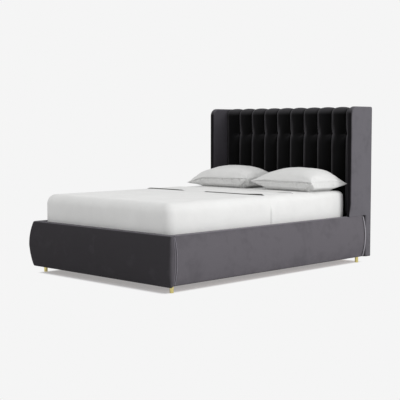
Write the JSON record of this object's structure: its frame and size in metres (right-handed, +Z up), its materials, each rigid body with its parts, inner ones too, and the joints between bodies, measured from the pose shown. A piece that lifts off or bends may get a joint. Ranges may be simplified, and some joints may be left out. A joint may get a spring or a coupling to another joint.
{
  "type": "ottoman bed",
  "caption": "Upholstered double bed with winged channelled headboard, bowed base, dressed mattress and an end-lifting slatted platform over storage.",
  "frame": {"origin": "on the floor, midway between the bed's two sides and midway between the footboard's bowed face and the headboard's back", "axes": "+Z up, +Y from the foot to the headboard, +X to the right of someone who faces the headboard"},
  "size_m": [1.6198, 2.303, 1.2915],
  "materials": {
    "plywood": "matte",
    "pine": "matte",
    "hardboard": "matte",
    "birch": "satin",
    "velvet": "matte",
    "foam": "matte",
    "zinc": "satin",
    "black_steel": "satin",
    "brass": "satin",
    "black_plastic": "matte",
    "rubber": "matte",
    "polished_steel": "polished",
    "webbing": "matte",
    "ticking": "matte",
    "linen": "matte"
  },
  "bodies": {
    "bed_base": {"headboard_panel": "plywood", "headboard_battens": "pine", "headboard_back_cover": "velvet", "headboard_padding": "velvet", "headboard_buttons": "velvet", "wing_cores": "plywood", "wing_cover_left": "velvet", "wing_cover_right": "velvet", "side_rail_board_left": "plywood", "side_rail_board_right": "plywood", "rail_foam": "foam", "side_rail_cover_left": "velvet", "side_rail_cover_right": "velvet", "footboard_board": "plywood", "footboard_cover": "velvet", "corner_welts": "velvet", "corner_blocks": "pine", "frame_bolts": "zinc", "leg_plates": "black_steel", "leg_front_left": "brass", "leg_front_right": "brass", "leg_rear_left": "brass", "leg_rear_right": "brass", "centre_legs": "black_plastic", "centre_beam": "pine", "floor_ledges": "pine", "floor_panel_foot": "hardboard", "floor_panel_head": "hardboard", "rest_buffers": "rubber", "base_plate_left": "black_steel", "base_plate_right": "black_steel", "base_plate_bolts": "zinc", "base_plate_pins": "zinc"},
    "front_arms": {"front_arm_left": "black_steel", "front_arm_right": "black_steel"},
    "platform": {"platform_tube_left": "black_steel", "platform_tube_right": "black_steel", "platform_end_tubes": "black_steel", "platform_spine": "black_steel", "cross_tubes": "black_steel", "platform_bracket_left": "black_steel", "platform_bracket_right": "black_steel", "platform_pins": "zinc", "slats_left": "birch", "slats_right": "birch", "slat_caps": "black_plastic", "mattress_stops": "black_steel", "pull_strap": "webbing", "mattress": "ticking", "fitted_sheet": "linen", "top_sheet": "linen", "pillow_left": "linen", "pillow_right": "linen"},
    "rear_arms": {"rear_arm_left": "black_steel", "rear_arm_right": "black_steel"},
    "strut_cylinders": {"strut_cylinder_left": "black_steel", "strut_cylinder_right": "black_steel"},
    "strut_rods": {"strut_rod_left": "polished_steel", "strut_rod_right": "polished_steel"}
  },
  "joints": [
    {"name": "lift", "type": "hinge", "parent": "bed_base", "child": "front_arms", "pos_m": [0, -0.1005, 0.147], "axis": [1, 0, 0], "range_deg": [0, 32.5]},
    {"name": "platform_tilt", "type": "hinge", "parent": "front_arms", "child": "platform", "pos_m": [0, 0.4045, 0.25], "axis": [1, 0, 0], "range_deg": [-64.55, 0]},
    {"name": "rear_arm_swing", "type": "hinge", "parent": "bed_base", "child": "rear_arms", "pos_m": [0, 0.3675, 0.309], "axis": [1, 0, 0], "range_deg": [0, 57.64]},
    {"name": "strut_swing", "type": "hinge", "parent": "bed_base", "child": "strut_cylinders", "pos_m": [0, 0.3075, 0.09], "axis": [1, 0, 0], "range_deg": [0, 38.88]},
    {"name": "strut_extend", "type": "slide", "parent": "strut_cylinders", "child": "strut_rods", "axis": [0, 0.762, 0.6475], "range_m": [0, 0.1002]}
  ],
  "couplings": [
    {"joint": "platform_tilt", "follows": "lift", "ratio": -1.9846},
    {"joint": "rear_arm_swing", "follows": "lift", "ratio": 1.772},
    {"joint": "strut_swing", "follows": "lift", "ratio": 1.1948},
    {"joint": "strut_extend", "follows": "lift", "m_per_rad": 0.17631}
  ]
}
